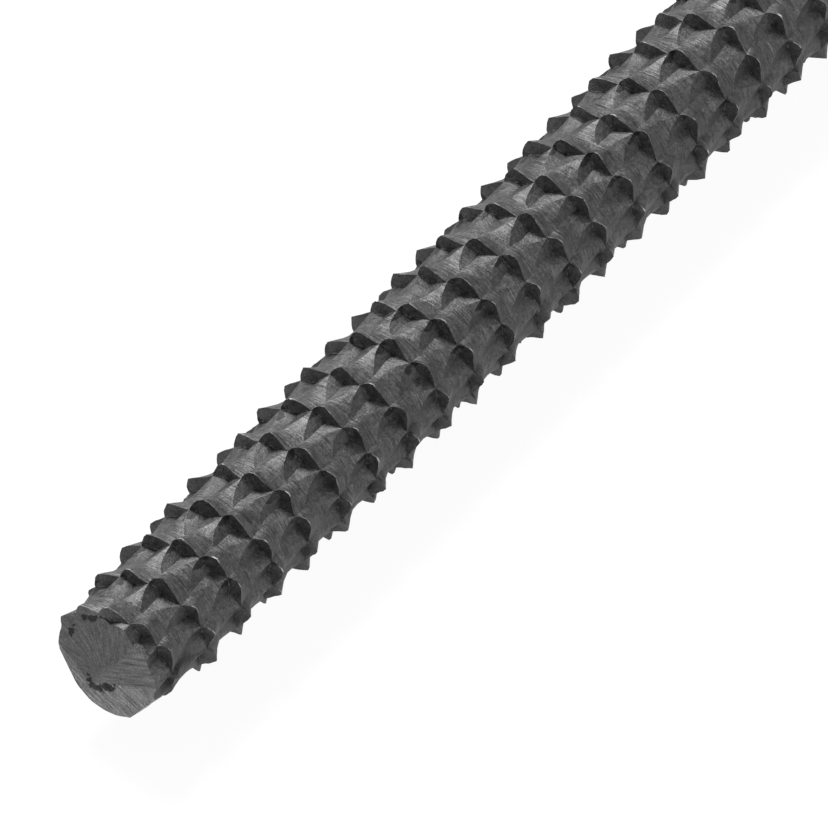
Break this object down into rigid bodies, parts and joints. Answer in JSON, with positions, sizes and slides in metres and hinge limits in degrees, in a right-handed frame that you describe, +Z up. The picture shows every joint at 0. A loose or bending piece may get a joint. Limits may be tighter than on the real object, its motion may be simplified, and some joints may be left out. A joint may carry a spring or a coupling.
{
  "type": "round rasp",
  "caption": "Tapered round steel rasp with punched teeth along a helix, a plain heel and a square tang for a handle, for shaping wood, horn or soft material in holes and curves.",
  "frame": {"origin": "centre of the bounding box's base: on the surface that the rasp lies on, below the middle of its whole length", "axes": "X along the rasp from its tip at -X to the end of its tang at +X, Z up from the surface that it lies on, Y across"},
  "size_m": [0.245, 0.009, 0.009],
  "materials": {
    "rasp_steel": "hardened tool steel, dark grey, with file marks across the bar, bright worn crests and a coarsely ground end face"
  },
  "bodies": {
    "root": {"rasp": "rasp_steel"}
  },
  "joints": []
}
